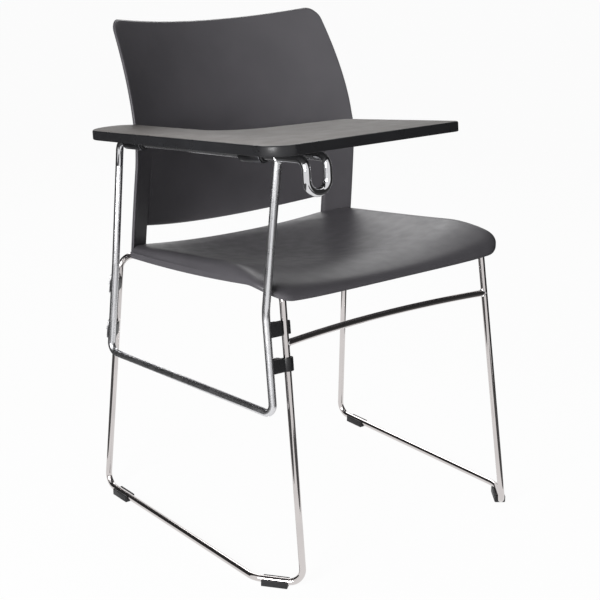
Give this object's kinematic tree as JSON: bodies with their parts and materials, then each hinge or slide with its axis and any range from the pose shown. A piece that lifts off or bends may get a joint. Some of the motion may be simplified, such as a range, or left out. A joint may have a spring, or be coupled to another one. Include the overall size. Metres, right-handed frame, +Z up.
{
  "type": "student desk chair",
  "caption": "Stacking classroom chair on a chromed rod sled base, with moulded seat and back, and a flip-up writing tablet with bag hook.",
  "frame": {"origin": "on the floor, under the middle of the chair's box", "axes": "+Z up, the sitter faces -Y and the writing tablet is on the sitter's right, at -X"},
  "size_m": [0.6108, 0.638, 0.8308],
  "materials": {
    "shell_plastic": "charcoal moulded plastic with a fine grain",
    "frame_rod_chrome": "bright chrome plate",
    "support_rod_chrome": "bright chrome plate",
    "bright_steel": "zinc plate",
    "hinge_steel": "dark steel",
    "black_plastic": "moulded",
    "tablet_board": "raw board, hidden inside",
    "grey_laminate": "satin laminate",
    "dark_backer": "matt laminate",
    "black_edge_band": "satin edge band",
    "pad_rubber": "matt"
  },
  "bodies": {
    "chair": {"right_side_frame": "frame_rod_chrome", "left_side_frame": "frame_rod_chrome", "front_crossbar": "frame_rod_chrome", "rear_crossbar": "frame_rod_chrome", "right_back_upright": "frame_rod_chrome", "left_back_upright": "frame_rod_chrome", "seat_tabs": "bright_steel", "seat_shell": "shell_plastic", "seat_screws": "bright_steel", "back_shell": "shell_plastic", "back_screws": "bright_steel", "front_right_glide": "black_plastic", "rear_right_glide": "black_plastic", "front_left_glide": "black_plastic", "rear_left_glide": "black_plastic", "arm_frame": "support_rod_chrome", "pivot_rod": "support_rod_chrome", "rest_rod_cap": "black_plastic", "front_upper_clip": "black_plastic", "front_lower_clip": "black_plastic", "rear_upper_clip": "black_plastic", "rear_lower_clip": "black_plastic", "clip_tabs": "bright_steel", "clip_plates": "bright_steel", "clip_screws": "bright_steel"},
    "tablet": {"tablet_core": "tablet_board", "tablet_laminate": "grey_laminate", "tablet_backer": "dark_backer", "tablet_edge_band": "black_edge_band", "front_hinge_saddle": "hinge_steel", "rear_hinge_saddle": "hinge_steel", "front_hinge_bush": "black_plastic", "rear_hinge_bush": "black_plastic", "hinge_screws": "bright_steel", "tablet_rest_pad": "pad_rubber"}
  },
  "joints": [
    {"name": "tablet_flip", "type": "hinge", "parent": "chair", "child": "tablet", "pos_m": [-0.24335, 0.03966, 0.6575], "axis": [0, -0.996, 0.0889], "range_deg": [0, 85]}
  ]
}
